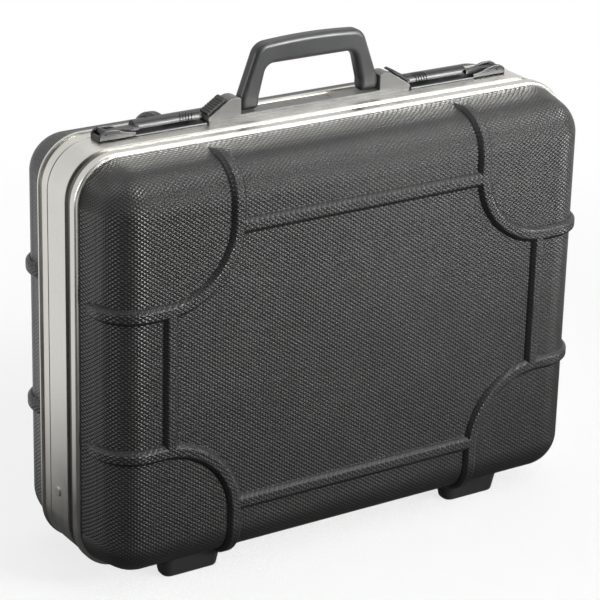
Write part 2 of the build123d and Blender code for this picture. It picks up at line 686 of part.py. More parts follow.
def stay_link(inset, start, end, start_bore, end_bore):
    """A flat link on the right-hand side, between two pivots given by Y and height."""
    tilt = degrees(atan2(end[1] - start[1], end[0] - start[0]))
    with BuildPart() as link:
        with BuildSketch(Plane.YZ.offset(CASE_WIDTH / 2 - inset - LINK_THICKNESS)):
            with Locations(((start[0] + end[0]) / 2, (start[1] + end[1]) / 2)):
                SlotCenterToCenter(LINK_LENGTH, LINK_WIDTH, rotation=tilt)
            with Locations(start):
                Circle(start_bore, mode=Mode.SUBTRACT)
            with Locations(end):
                Circle(end_bore, mode=Mode.SUBTRACT)
        extrude(amount=LINK_THICKNESS)
    return link.part


STAY_BORE = STAY_PIN_RADIUS + PIN_CLEARANCE
FRONT_PIVOT = (STAY_FRONT_PIVOT_Y, FRONT_PIVOT_Z)
BACK_PIVOT = (STAY_BACK_PIVOT_Y, BACK_PIVOT_Z)

with BuildPart() as right_front_link:
    add(stay_link(FRONT_LINK_INSET, FRONT_PIVOT, MIDDLE_PIVOT, STAY_BORE, STAY_PIN_RADIUS))
right_front_link.part.label = "right_front_link"
export_step(right_front_link.part, "parts/right_front_link.step")

with BuildPart() as right_back_link:
    add(stay_link(BACK_LINK_INSET, BACK_PIVOT, MIDDLE_PIVOT, STAY_BORE, STAY_BORE))
right_back_link.part.label = "right_back_link"
export_step(right_back_link.part, "parts/right_back_link.step")

with BuildPart() as right_link_rivet:
    add(turned_pin(
        Plane(origin=(CASE_WIDTH / 2, MIDDLE_PIVOT[0], MIDDLE_PIVOT[1]), z_dir=(-1, 0, 0)),
        (
            (FRONT_LINK_INSET - STAY_HEAD_HEIGHT, FRONT_LINK_INSET, STAY_HEAD_RADIUS),
            (FRONT_LINK_INSET, BACK_LINK_BACK + BODY_GAP, STAY_PIN_RADIUS),
            (BACK_LINK_BACK + BODY_GAP, BACK_LINK_BACK + BODY_GAP + STAY_HEAD_HEIGHT, STAY_HEAD_RADIUS),
        ),
    ))
right_link_rivet.part.label = "right_link_rivet"
export_step(right_link_rivet.part, "parts/right_link_rivet.step")

with BuildPart() as left_front_link:
    mirror(right_front_link.part, about=Plane.YZ)
left_front_link.part.label = "left_front_link"
export_step(left_front_link.part, "parts/left_front_link.step")

with BuildPart() as left_back_link:
    mirror(right_back_link.part, about=Plane.YZ)
left_back_link.part.label = "left_back_link"
export_step(left_back_link.part, "parts/left_back_link.step")

with BuildPart() as left_link_rivet:
    mirror(right_link_rivet.part, about=Plane.YZ)
left_link_rivet.part.label = "left_link_rivet"
export_step(left_link_rivet.part, "parts/left_link_rivet.step")

# ---------------------------------------------------------------- handle and its base

with BuildPart() as handle_pins:
    with BuildSketch(Plane.YZ.offset(HANDLE_PIN_INNER)):
        with Locations((FITTING_Y, HANDLE_PIVOT_Z)):
            Circle(HANDLE_PIN_RADIUS)
    extrude(amount=HANDLE_PIN_OUTER - HANDLE_PIN_INNER)
    mirror(about=Plane.YZ)
handle_pins.part.label = "handle_pins"
export_step(handle_pins.part, "parts/handle_pins.step")

# A plate lies under the whole length of the handle's base
with BuildPart() as base_plate:
    with BuildSketch(Plane.XY.offset(BAND_TOP)):
        with Locations((0, FITTING_Y)):
            RectangleRounded(2 * HANDLE_BASE_HALF, FITTING_WIDTH, FITTING_CORNER)
    extrude(amount=PLATE_THICKNESS)
base_plate.part.label = "base_plate"
export_step(base_plate.part, "parts/base_plate.step")

# The base is one moulding: a flat strip with a block at each end
with BuildPart() as handle_base:
    with BuildSketch(Plane.XZ.offset(-FITTING_BACK_Y)):
        with BuildLine():
            Polyline(
                (BLOCK_SHOULDER_X, BAND_TOP + BLOCK_HEIGHT),
                (BLOCK_TOE_X, BAND_TOP + BLOCK_TOE_HEIGHT),
                (BLOCK_TOE_X, PLATE_TOP),
                (BLOCK_INNER, PLATE_TOP),
                (BLOCK_INNER, BAND_TOP + BLOCK_HEIGHT),
            )
            ThreePointArc(
                (BLOCK_INNER, BAND_TOP + BLOCK_HEIGHT),
                ((BLOCK_INNER + BLOCK_SHOULDER_X) / 2, BAND_TOP + BLOCK_CREST),
                (BLOCK_SHOULDER_X, BAND_TOP + BLOCK_HEIGHT),
            )
        make_face()
    extrude(amount=FITTING_WIDTH)
    upper_edges = handle_base.edges().filter_by(Plane.XZ).filter_by_position(
        Axis.Z, (PLATE_TOP + BAND_TOP + BLOCK_TOE_HEIGHT) / 2 + 0.1, LIP_TOP + BLOCK_CREST
    )
    fillet(upper_edges, BLOCK_EDGE_RADIUS)
    with BuildSketch(Plane.XY.offset(PLATE_TOP)):
        with Locations((0, FITTING_Y)):
            RectangleRounded(2 * HANDLE_BASE_HALF, FITTING_WIDTH, FITTING_CORNER)
    extrude(amount=HANDLE_BASE_TOP - PLATE_THICKNESS)
    with BuildSketch(SLOPE.offset(BUTTON_PROUD)):
        RectangleRounded(BUTTON_LENGTH + 2 * BODY_GAP, BUTTON_WIDTH + 2 * BODY_GAP, BUTTON_CORNER)
    extrude(amount=-BUTTON_THICKNESS, mode=Mode.SUBTRACT)
    with BuildSketch(SLOPE.offset(BUTTON_PROUD - BUTTON_THICKNESS - BUTTON_TRAVEL - BODY_GAP)):
        RectangleRounded(
            BUTTON_LENGTH + 2 * (BUTTON_FLANGE + BODY_GAP),
            BUTTON_WIDTH + 2 * (BUTTON_FLANGE + BODY_GAP),
            BUTTON_CORNER,
        )
    extrude(amount=BUTTON_FLANGE_THICKNESS + BUTTON_TRAVEL + 2 * BODY_GAP, mode=Mode.SUBTRACT)
    mirror(about=Plane.YZ)
    with BuildSketch(Plane.XY.offset(BAND_TOP + HANDLE_BASE_TOP)):
        with Locations((0, FITTING_Y)):
            RectangleRounded(BADGE_LENGTH, BADGE_WIDTH, FITTING_CORNER)
    extrude(amount=-BADGE_DEPTH, mode=Mode.SUBTRACT)
    add(handle_pins.part, mode=Mode.SUBTRACT)
handle_base.part.label = "handle_base"
export_step(handle_base.part, "parts/handle_base.step")

with BuildPart() as handle:
    with BuildSketch(Plane.XZ.offset(-FITTING_Y - HANDLE_DEPTH / 2)):
        with BuildLine() as bow:
            Polyline(
                (-HANDLE_SHOULDER_X, LIP_TOP + HANDLE_TOP - HANDLE_CROWN),
                (-HANDLE_LEG_OUTER, BAND_TOP + HANDLE_KNEE),
                (-HANDLE_LEG_OUTER, BAND_TOP),
                (HANDLE_LEG_OUTER, BAND_TOP),
                (HANDLE_LEG_OUTER, BAND_TOP + HANDLE_KNEE),
                (HANDLE_SHOULDER_X, LIP_TOP + HANDLE_TOP - HANDLE_CROWN),
            )
            ThreePointArc(
                (HANDLE_SHOULDER_X, LIP_TOP + HANDLE_TOP - HANDLE_CROWN),
                (0, LIP_TOP + HANDLE_TOP),
                (-HANDLE_SHOULDER_X, LIP_TOP + HANDLE_TOP - HANDLE_CROWN),
            )
        bow_face = make_face()
        fillet(bow_face.vertices().group_by(Axis.Y)[-1], HANDLE_CORNER_RADIUS)
    extrude(amount=HANDLE_DEPTH)
    with BuildSketch(Plane.XZ.offset(-FITTING_Y - HANDLE_DEPTH / 2)) as bow_opening:
        with BuildLine():
            Polyline(
                (-HANDLE_OPENING_X, LIP_TOP + HANDLE_TOP - GRIP_THICKNESS),
                (-HANDLE_LEG_INNER, BAND_TOP + HANDLE_KNEE),
                (-HANDLE_LEG_INNER, BAND_TOP),
                (HANDLE_LEG_INNER, BAND_TOP),
                (HANDLE_LEG_INNER, BAND_TOP + HANDLE_KNEE),
                (HANDLE_OPENING_X, LIP_TOP + HANDLE_TOP - GRIP_THICKNESS),
                close=True,
            )
        make_face()
        fillet(bow_opening.vertices().group_by(Axis.Y)[-1], HANDLE_OPENING_RADIUS)
    extrude(amount=HANDLE_DEPTH, mode=Mode.SUBTRACT)
    # The legs' ends are round about their pivots
    with BuildSketch(Plane.YZ.offset(-HANDLE_LEG_OUTER)):
        with Locations((FITTING_Y, HANDLE_PIVOT_Z)):
            Circle(HANDLE_DEPTH / 2)
        with Locations((FITTING_Y, HANDLE_PIVOT_Z + HANDLE_TOP / 2)):
            Rectangle(HANDLE_DEPTH, HANDLE_TOP)
    extrude(amount=2 * HANDLE_LEG_OUTER, mode=Mode.INTERSECT)
    side_edges = handle.edges().filter_by_position(
        Axis.Y, FITTING_Y - HANDLE_DEPTH / 2 - 0.01, FITTING_Y - HANDLE_DEPTH / 2 + 0.01
    ) + handle.edges().filter_by_position(
        Axis.Y, FITTING_Y + HANDLE_DEPTH / 2 - 0.01, FITTING_Y + HANDLE_DEPTH / 2 + 0.01
    )
    side_edges = side_edges.filter_by_position(Axis.Z, HANDLE_PIVOT_Z + 0.1, LIP_TOP + HANDLE_TOP)
    fillet(side_edges, HANDLE_EDGE_RADIUS)
    with BuildSketch(Plane.YZ.offset(HANDLE_PIN_INNER - BODY_GAP)):
        with Locations((FITTING_Y, HANDLE_PIVOT_Z)):
            Circle(HANDLE_PIN_RADIUS + PIN_CLEARANCE)
    extrude(amount=HANDLE_LEG_OUTER - HANDLE_PIN_INNER + 2 * BODY_GAP, mode=Mode.SUBTRACT)
    with BuildSketch(Plane.YZ.offset(-HANDLE_PIN_INNER + BODY_GAP)):
        with Locations((FITTING_Y, HANDLE_PIVOT_Z)):
            Circle(HANDLE_PIN_RADIUS + PIN_CLEARANCE)
    extrude(amount=-HANDLE_LEG_OUTER + HANDLE_PIN_INNER - 2 * BODY_GAP, mode=Mode.SUBTRACT)
handle.part.label = "handle"
export_step(handle.part, "parts/handle.step")

# ---------------------------------------------------------------- release buttons

with BuildPart() as right_button:
    with BuildSketch(SLOPE.offset(BUTTON_PROUD)):
        RectangleRounded(BUTTON_LENGTH, BUTTON_WIDTH, BUTTON_CORNER)
    extrude(amount=-BUTTON_THICKNESS)
    with BuildSketch(SLOPE.offset(BUTTON_PROUD - BUTTON_THICKNESS)):
        RectangleRounded(BUTTON_LENGTH + 2 * BUTTON_FLANGE, BUTTON_WIDTH + 2 * BUTTON_FLANGE, BUTTON_CORNER)
    extrude(amount=BUTTON_FLANGE_THICKNESS)
    with BuildSketch(SLOPE.offset(BUTTON_PROUD)):
        with GridLocations(BUTTON_GROOVE_PITCH, 1, BUTTON_GROOVES, 1):
            Rectangle(BUTTON_GROOVE_WIDTH, BUTTON_WIDTH)
    extrude(amount=-BUTTON_GROOVE_DEPTH, mode=Mode.SUBTRACT)
right_button.part.label = "right_button"
export_step(right_button.part, "parts/right_button.step")

with BuildPart() as left_button:
    mirror(right_button.part, about=Plane.YZ)
left_button.part.label = "left_button"
export_step(left_button.part, "parts/left_button.step")

# ---------------------------------------------------------------- latches

with BuildPart() as right_lever_pin:
    with BuildSketch(Plane.XZ.offset(-FITTING_BACK_Y)):
        with Locations((LEVER_PIVOT_X, LEVER_PIVOT_Z)):
            Circle(LEVER_PIN_RADIUS)
    extrude(amount=FITTING_WIDTH + LEVER_PIN_END)

with BuildPart() as lever_pins:
    add(right_lever_pin.part)
    mirror(about=Plane.YZ)
lever_pins.part.label = "lever_pins"
export_step(lever_pins.part, "parts/lever_pins.step")

with BuildPart() as right_latch_base:
    with BuildSketch(Plane.XY.offset(BAND_TOP)) as base_outline:
        with Locations(((HANDLE_BASE_HALF + FITTING_JOINT + LATCH_OUTER) / 2, FITTING_Y)):
            Rectangle(LATCH_OUTER - HANDLE_BASE_HALF - FITTING_JOINT, FITTING_WIDTH)
        chamfer(base_outline.vertices().group_by(Axis.X)[-1], LATCH_CORNER)
    extrude(amount=LATCH_BASE_THICKNESS)
    for cheek_y in (FITTING_BACK_Y, FITTING_FRONT_Y + CHEEK_THICKNESS):
        with BuildSketch(Plane.XZ.offset(-cheek_y)):
            with BuildLine():
                Polyline(
                    (CHEEK_START_X, BAND_TOP),
                    (CHEEK_CREST_X[0], BAND_TOP + CHEEK_TOP),
                    (CHEEK_CREST_X[1], BAND_TOP + CHEEK_TOP),
                    (LATCH_OUTER, BAND_TOP + CHEEK_END_HEIGHT),
                    (LATCH_OUTER, BAND_TOP),
                    close=True,
                )
            make_face()
        extrude(amount=CHEEK_THICKNESS)
    add(right_lever_pin.part, mode=Mode.SUBTRACT)
right_latch_base.part.label = "right_latch_base"
export_step(right_latch_base.part, "parts/right_latch_base.step")

with BuildPart() as left_latch_base:
    mirror(right_latch_base.part, about=Plane.YZ)
left_latch_base.part.label = "left_latch_base"
export_step(left_latch_base.part, "parts/left_latch_base.step")

# Slanted finger grooves, as deep as the lever's skin allows
GROOVES_X = LEVER_TIP_X + LEVER_RADIUS + LEVER_GROOVE_PITCH * LEVER_GROOVES / 2
with BuildPart() as lever_grooves:
    with BuildSketch(Plane.XY.offset(LEVER_AXIS_Z)):
        with Locations((GROOVES_X, LEVER_AXIS_Y)):
            with GridLocations(LEVER_GROOVE_PITCH, 1, LEVER_GROOVES, 1):
                Rectangle(LEVER_GROOVE_WIDTH, 4 * LEVER_RADIUS, rotation=LEVER_GROOVE_SLANT)
    extrude(amount=2 * LEVER_RADIUS)
    with BuildSketch(Plane.YZ.offset(LEVER_TIP_X)):
        with Locations((LEVER_AXIS_Y, LEVER_AXIS_Z)):
            Circle(LEVER_RADIUS - LEVER_GROOVE_DEPTH)
    extrude(amount=LEVER_BODY_END - LEVER_TIP_X, mode=Mode.SUBTRACT)


def half_round(start, end, radius):
    """A half-round bar along the lever, from one X to another."""
    with BuildPart() as bar:
        with BuildSketch(Plane.YZ.offset(start)):
            with Locations((LEVER_AXIS_Y, LEVER_AXIS_Z)):
                Circle(radius)
            with Locations((LEVER_AXIS_Y, LEVER_AXIS_Z - radius)):
                Rectangle(2 * radius, 2 * radius, mode=Mode.SUBTRACT)
        extrude(amount=end - start)
    return bar.part


KNUCKLE_FRONT_Y = FITTING_FRONT_Y + CHEEK_THICKNESS + BODY_GAP
KNUCKLE_BACK_Y = FITTING_BACK_Y - CHEEK_THICKNESS - BODY_GAP
TOOTH_Y = LEVER_AXIS_Y + LEVER_RADIUS - LEVER_WALL / 2

lever_body = half_round(LEVER_TIP_X, LEVER_BODY_END, LEVER_RADIUS)
lever_hollow = half_round(LEVER_TIP_X + LEVER_WALL, LEVER_BODY_END - LEVER_WALL, LEVER_RADIUS - LEVER_WALL)

with BuildPart() as right_lever:
    add(lever_body)
    add(lever_grooves.part, mode=Mode.SUBTRACT)
    with BuildSketch(Plane.XY.offset(LEVER_PIVOT_Z - LEVER_NECK_THICKNESS / 2)):
        with Locations(((LEVER_BODY_END - LEVER_WALL + LEVER_PIVOT_X) / 2, FITTING_Y)):
            Rectangle(LEVER_PIVOT_X - LEVER_BODY_END + LEVER_WALL, LEVER_NECK_WIDTH)
    extrude(amount=LEVER_NECK_THICKNESS)
    with BuildSketch(Plane.XZ.offset(-KNUCKLE_BACK_Y)):
        with Locations((LEVER_PIVOT_X, LEVER_PIVOT_Z)):
            Circle(LEVER_KNUCKLE_RADIUS)
    extrude(amount=KNUCKLE_BACK_Y - KNUCKLE_FRONT_Y)
    with BuildSketch(Plane.XZ.offset(-KNUCKLE_BACK_Y)):
        with Locations((LEVER_PIVOT_X, LEVER_PIVOT_Z)):
            Circle(LEVER_PIN_RADIUS + PIN_CLEARANCE)
    extrude(amount=KNUCKLE_BACK_Y - KNUCKLE_FRONT_Y, mode=Mode.SUBTRACT)
    add(lever_hollow, mode=Mode.SUBTRACT)
    # The tooth on the rear edge drops behind the keeper's ridge
    with BuildSketch(Plane.XY.offset(LEVER_AXIS_Z)):
        with Locations((TOOTH_START + TOOTH_LENGTH / 2, TOOTH_Y)):
            Rectangle(TOOTH_LENGTH, LEVER_WALL)
    extrude(amount=-TOOTH_DROP)
right_lever.part.label = "right_lever"
export_step(right_lever.part, "parts/right_lever.step")

with BuildPart() as left_lever:
    mirror(right_lever.part, about=Plane.YZ)
left_lever.part.label = "left_lever"
export_step(left_lever.part, "parts/left_lever.step")

# ---------------------------------------------------------------- keepers

KEEPER_FRONT_Y = PARTING_BACK_Y + BODY_GAP / 2
KEEPER_BACK_Y = BACK_GROOVE_Y - BODY_GAP
KEEPER_PAD_Y = LEVER_AXIS_Y + LEVER_RADIUS + 2 * BODY_GAP
KEEPER_X = KEEPER_START + KEEPER_LENGTH / 2

with BuildPart() as right_keeper:
    with BuildSketch(Plane.YZ.offset(KEEPER_START)):
        with BuildLine():
            Polyline(
                (KEEPER_FRONT_Y, BAND_TOP),
                (KEEPER_FRONT_Y, BAND_TOP + KEEPER_RIDGE_HEIGHT),
                (KEEPER_FRONT_Y + KEEPER_RIDGE, BAND_TOP + KEEPER_RIDGE_HEIGHT),
                (KEEPER_FRONT_Y + KEEPER_RIDGE, BAND_TOP + KEEPER_FLOOR),
                (KEEPER_PAD_Y, BAND_TOP + KEEPER_FLOOR),
                (KEEPER_PAD_Y, BAND_TOP + KEEPER_PAD_HEIGHT),
                (KEEPER_BACK_Y - KEEPER_FLOOR, BAND_TOP + KEEPER_PAD_HEIGHT),
                (KEEPER_BACK_Y, BAND_TOP + KEEPER_FLOOR),
                (KEEPER_BACK_Y, BAND_TOP),
                close=True,
            )
        make_face()
    extrude(amount=KEEPER_LENGTH)
    with BuildSketch(Plane.XY.offset(BAND_TOP + KEEPER_FLOOR)):
        with Locations((KEEPER_X, (KEEPER_PAD_Y + KEEPER_BACK_Y) / 2)):
            with GridLocations(KEEPER_LENGTH / KEEPER_SLOTS, 1, KEEPER_SLOTS, 1):
                Rectangle(KEEPER_SLOT_WIDTH, KEEPER_BACK_Y - KEEPER_PAD_Y)
    extrude(amount=KEEPER_PAD_HEIGHT, mode=Mode.SUBTRACT)
right_keeper.part.label = "right_keeper"
export_step(right_keeper.part, "parts/right_keeper.step")

with BuildPart() as left_keeper:
    mirror(right_keeper.part, about=Plane.YZ)
left_keeper.part.label = "left_keeper"
export_step(left_keeper.part, "parts/left_keeper.step")
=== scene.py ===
import bpy
import bmesh
import math
from mathutils import Matrix, Vector


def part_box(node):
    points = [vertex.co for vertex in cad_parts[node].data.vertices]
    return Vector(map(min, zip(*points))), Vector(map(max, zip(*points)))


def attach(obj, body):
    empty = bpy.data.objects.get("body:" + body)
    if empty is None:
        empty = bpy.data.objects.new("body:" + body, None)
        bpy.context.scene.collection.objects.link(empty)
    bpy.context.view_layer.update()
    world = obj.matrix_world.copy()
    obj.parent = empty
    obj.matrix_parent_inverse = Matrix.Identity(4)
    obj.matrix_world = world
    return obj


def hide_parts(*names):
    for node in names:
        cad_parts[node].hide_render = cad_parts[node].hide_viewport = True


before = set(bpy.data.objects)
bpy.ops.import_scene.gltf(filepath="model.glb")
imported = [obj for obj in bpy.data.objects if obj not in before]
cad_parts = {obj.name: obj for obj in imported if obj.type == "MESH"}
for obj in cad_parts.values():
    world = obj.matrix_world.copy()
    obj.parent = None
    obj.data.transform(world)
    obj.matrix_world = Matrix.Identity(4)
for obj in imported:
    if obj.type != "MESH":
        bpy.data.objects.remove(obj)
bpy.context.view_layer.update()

# ---------------------------------------------------------------- studio
# A plain white sweep, a broad light low in front and to the right, a light behind
# that grazes the top, and a camera at the photograph's angle: left of the front,
# a little above, with a long lens.

scene = bpy.context.scene
DARK_SIDE = Vector((-0.62, -0.77, 0.12)).normalized()  # where the room is unlit
scene.view_settings.view_transform = "Standard"


def new_tree(owner):
    """Empties a material's or world's node tree and returns it."""
    owner.use_nodes = True
    owner.node_tree.nodes.clear()
    return owner.node_tree


def add_node(tree, kind, inputs=None, **settings):
    """Adds a node, sets its properties, and sets or links its inputs."""
    node = tree.nodes.new(kind)
    for name, value in settings.items():
        setattr(node, name, value)
    for name, value in (inputs or {}).items():
        socket = node.inputs[name]
        if isinstance(value, bpy.types.NodeSocket):
            tree.links.new(value, socket)
        else:
            socket.default_value = value
    return node


def maths(tree, operation, first, second=0.0, third=0.0):
    """Adds a math node and returns its output."""
    return add_node(
        tree, "ShaderNodeMath", {0: first, 1: second, 2: third}, operation=operation
    ).outputs[0]


world = bpy.data.worlds.new("studio")
scene.world = world
tree = new_tree(world)
light_path = add_node(tree, "ShaderNodeLightPath")
direction = add_node(tree, "ShaderNodeTexCoord")
towards = add_node(
    tree, "ShaderNodeVectorMath", {0: direction.outputs["Generated"], 1: DARK_SIDE}, operation="DOT_PRODUCT"
)
dimming = add_node(
    tree, "ShaderNodeMapRange",
    {"Value": towards.outputs["Value"], "From Min": 0.35, "From Max": 0.95, "To Min": 0.9, "To Max": 0.1},
    interpolation_type="SMOOTHSTEP",
)
room = add_node(tree, "ShaderNodeBackground", {"Color": (0.96, 0.98, 1.0, 1), "Strength": 0.34})
mirrored = add_node(tree, "ShaderNodeBackground", {"Color": (1, 1, 1, 1), "Strength": dimming.outputs[0]})
white = add_node(tree, "ShaderNodeBackground", {"Color": (1, 1, 1, 1), "Strength": 1.0})
reflected = add_node(
    tree, "ShaderNodeMixShader", {0: light_path.outputs["Is Glossy Ray"], 1: room.outputs[0], 2: mirrored.outputs[0]}
)
seen = maths(tree, "MAXIMUM", light_path.outputs["Is Camera Ray"], light_path.outputs["Is Transmission Ray"])
mixed = add_node(tree, "ShaderNodeMixShader", {0: seen, 1: reflected.outputs[0], 2: white.outputs[0]})
add_node(tree, "ShaderNodeOutputWorld", {"Surface": mixed.outputs[0]})

floor_mesh = bpy.data.meshes.new("floor")
floor_mesh.from_pydata([(-6, -6, 0), (6, -6, 0), (6, 6, 0), (-6, 6, 0)], [], [(0, 1, 2, 3)])
floor = bpy.data.objects.new("floor", floor_mesh)
scene.collection.objects.link(floor)
floor_material = bpy.data.materials.new("floor")
tree = new_tree(floor_material)
light_path = add_node(tree, "ShaderNodeLightPath")
matt = add_node(tree, "ShaderNodeBsdfDiffuse", {"Color": (0.82, 0.82, 0.82, 1)})
clear = add_node(tree, "ShaderNodeBsdfTransparent", {"Color": (1, 1, 1, 1)})
floor_point = add_node(tree, "ShaderNodeTexCoord").outputs["Object"]
# The floor thins out to the white room, and hides nothing that hangs below it
far = add_node(tree, "ShaderNodeVectorMath", {0: floor_point}, operation="LENGTH").outputs["Value"]
thinned = add_node(
    tree, "ShaderNodeMapRange", {"Value": far, "From Min": 0.3, "From Max": 1.0, "To Min": 0.76, "To Max": 1.0}
).outputs[0]
share = maths(tree, "MULTIPLY", light_path.outputs["Is Camera Ray"], thinned)
share = maths(tree, "MAXIMUM", share, light_path.outputs["Is Shadow Ray"])
pale = add_node(tree, "ShaderNodeMixShader", {0: share, 1: matt.outputs[0], 2: clear.outputs[0]})
# Mirrored in the case, the floor is a painted glow that only reflections see: dim near the case, bright well in front
# of it and behind it
place = add_node(tree, "ShaderNodeSeparateXYZ", {0: floor_point})
ahead = maths(tree, "MULTIPLY", place.outputs[1], -1.1)
ahead = maths(tree, "ADD", ahead, maths(tree, "MULTIPLY", place.outputs[0], 0.35))
behind = maths(tree, "MULTIPLY", maths(tree, "SUBTRACT", place.outputs[1], 0.05), 3.0)
ahead = add_node(
    tree, "ShaderNodeMapRange", {"Value": ahead, "From Min": 0.3, "From Max": 0.8, "To Min": 0.03, "To Max": 1.0}
).outputs[0]
behind = add_node(
    tree, "ShaderNodeMapRange", {"Value": behind, "From Min": 0.12, "From Max": 0.9, "To Min": 0.06, "To Max": 1.0}
).outputs[0]
painted_glow_level = maths(tree, "MAXIMUM", ahead, behind)
mirrored = add_node(tree, "ShaderNodeEmission", {"Color": (1, 1, 1, 1), "Strength": painted_glow_level})
above = add_node(
    tree, "ShaderNodeMixShader",
    {0: light_path.outputs["Is Glossy Ray"], 1: pale.outputs[0], 2: mirrored.outputs[0]},
)
from_below = add_node(tree, "ShaderNodeNewGeometry").outputs["Backfacing"]
mixed = add_node(tree, "ShaderNodeMixShader", {0: from_below, 1: above.outputs[0], 2: clear.outputs[0]})
add_node(tree, "ShaderNodeOutputMaterial", {"Surface": mixed.outputs[0]})
floor_mesh.materials.append(floor_material)


def area_light(name, place, aim, size, power, beam=180):
    """Adds a soft box that the camera doesn't see; its beam is an angle in degrees."""
    lamp = bpy.data.lights.new(name, "AREA")
    lamp.shape = "RECTANGLE"
    lamp.size, lamp.size_y = size
    lamp.energy = power
    lamp.spread = math.radians(beam)
    holder = bpy.data.objects.new(name, lamp)
    holder.location = place
    holder.rotation_euler = (Vector(aim) - Vector(place)).to_track_quat("-Z", "Y").to_euler()
    holder.visible_camera = False
    scene.collection.objects.link(holder)


area_light("key_box", (0.75, -1.1, 0.75), (0.12, -0.08, 0.36), (0.8, 0.5), 3.2, beam=42)
area_light("edge_box", (0.3, -0.58, 0.9), (0.03, -0.08, 0.3), (0.8, 0.4), 4)
area_light("over_box", (0.3, 0.6, 1.9), (0, 0, 0.3), (1.4, 1.0), 8)
area_light("left_box", (-1.9, 0.3, 0.8), (0, 0, 0.2), (0.9, 1.0), 12)

yaw, pitch, roll = math.radians(33.18), math.radians(21.96), math.radians(1.50)
back = Vector((-math.sin(yaw) * math.cos(pitch), -math.cos(yaw) * math.cos(pitch), math.sin(pitch)))
across = Vector((0, 0, 1)).cross(back).normalized()
up = back.cross(across)
turned_across = across * math.cos(roll) + up * math.sin(roll)
turned_up = up * math.cos(roll) - across * math.sin(roll)
target = Vector((-0.02726, -0.0322, 0.188 + 0.02263))
camera_data = bpy.data.cameras.new("camera")
camera_data.sensor_width = 36
camera_data.lens = 154.105
camera = bpy.data.objects.new("camera", camera_data)
camera.matrix_world = Matrix.Translation(target + back * 2.1108) @ Matrix(
    (turned_across, turned_up, back)
).transposed().to_4x4()
scene.collection.objects.link(camera)
scene.camera = camera

# ---------------------------------------------------------------- shells
# Vacuum-formed charcoal ABS with a fine pyramid emboss, each 4.8 mm wide and 3.5 mm
# tall, that runs over the ribs and edges. It has a soft sheen and carries a trace of
# dust where it faces up. Painted shade darkens the pyramids' valleys, which leaves
# their tips greyer, and also the ribs' flanks and the creases at their feet.

PYRAMID_WIDTH = 0.0048
PYRAMID_RISE = 0.00346
PYRAMID_HEIGHT = 0.0006


def new_group(name, inputs, outputs):
    """Makes an empty shader group with its sockets, and returns it with its ends."""
    group = bpy.data.node_groups.new(name, "ShaderNodeTree")
    for label, kind, default in inputs:
        socket = group.interface.new_socket(label, in_out="INPUT", socket_type=kind)
        if default is not None:
            socket.default_value = default
    for label, kind in outputs:
        group.interface.new_socket(label, in_out="OUTPUT", socket_type=kind)
    return group, group.nodes.new("NodeGroupInput"), group.nodes.new("NodeGroupOutput")


emboss, ends_in, ends_out = new_group(
    "pyramid_emboss",
    [
        ("Width", "NodeSocketFloat", PYRAMID_WIDTH),
        ("Rise", "NodeSocketFloat", PYRAMID_RISE),
        ("Flat X", "NodeSocketFloat", 0.197),
        ("Flat Z", "NodeSocketFloat", 0.139),
        ("Middle Z", "NodeSocketFloat", 0.188),
        ("Edge Radius", "NodeSocketFloat", 0.031),
        ("Edge Y", "NodeSocketFloat", 0.0502),
    ],
    [("Height", "NodeSocketFloat"), ("Flank", "NodeSocketFloat"), ("Crease", "NodeSocketFloat")],
)
# The pattern is laid over the flat face and unrolled round the rounded edges
coords = add_node(emboss, "ShaderNodeTexCoord")
place = add_node(emboss, "ShaderNodeSeparateXYZ", {0: coords.outputs["Object"]})
away_x = maths(emboss, "ABSOLUTE", place.outputs[0])
away_z = maths(emboss, "ABSOLUTE", maths(emboss, "SUBTRACT", place.outputs[2], ends_in.outputs["Middle Z"]))
over_x = maths(emboss, "MAXIMUM", maths(emboss, "SUBTRACT", away_x, ends_in.outputs["Flat X"]), 0.0)
over_z = maths(emboss, "MAXIMUM", maths(emboss, "SUBTRACT", away_z, ends_in.outputs["Flat Z"]), 0.0)
squares = maths(emboss, "ADD", maths(emboss, "MULTIPLY", over_x, over_x), maths(emboss, "MULTIPLY", over_z, over_z))
reach = maths(emboss, "MAXIMUM", maths(emboss, "SQRT", squares), 0.000001)
outward = maths(emboss, "SUBTRACT", maths(emboss, "ABSOLUTE", place.outputs[1]), ends_in.outputs["Edge Y"])
turned = maths(emboss, "ARCTAN2", maths(emboss, "SUBTRACT", reach, 0.000001), outward)
unrolled = maths(emboss, "DIVIDE", maths(emboss, "MULTIPLY", turned, ends_in.outputs["Edge Radius"]), reach)
along = maths(
    emboss, "ADD", maths(emboss, "MINIMUM", away_x, ends_in.outputs["Flat X"]), maths(emboss, "MULTIPLY", over_x, unrolled)
)
upward = maths(
    emboss, "ADD", maths(emboss, "MINIMUM", away_z, ends_in.outputs["Flat Z"]), maths(emboss, "MULTIPLY", over_z, unrolled)
)
columns = maths(emboss, "DIVIDE", along, ends_in.outputs["Width"])
rows = maths(emboss, "DIVIDE", upward, ends_in.outputs["Rise"])
first_slope = maths(emboss, "PINGPONG", maths(emboss, "ADD", columns, rows), 0.5)
second_slope = maths(emboss, "PINGPONG", maths(emboss, "SUBTRACT", columns, rows), 0.5)
pyramid = maths(emboss, "MULTIPLY", maths(emboss, "MINIMUM", first_slope, second_slope), 2.0)
# A rib's flanks are smoother, with a crease at their foot; both masks also carry painted shade into the shell's
# colour
radial = maths(emboss, "SQRT", maths(emboss, "ADD", squares, maths(emboss, "MULTIPLY", outward, outward)))
raised = maths(emboss, "SUBTRACT", radial, ends_in.outputs["Edge Radius"])
bent = add_node(emboss, "ShaderNodeMapRange", {"Value": outward, "From Min": 0.001, "From Max": 0.004}).outputs[0]


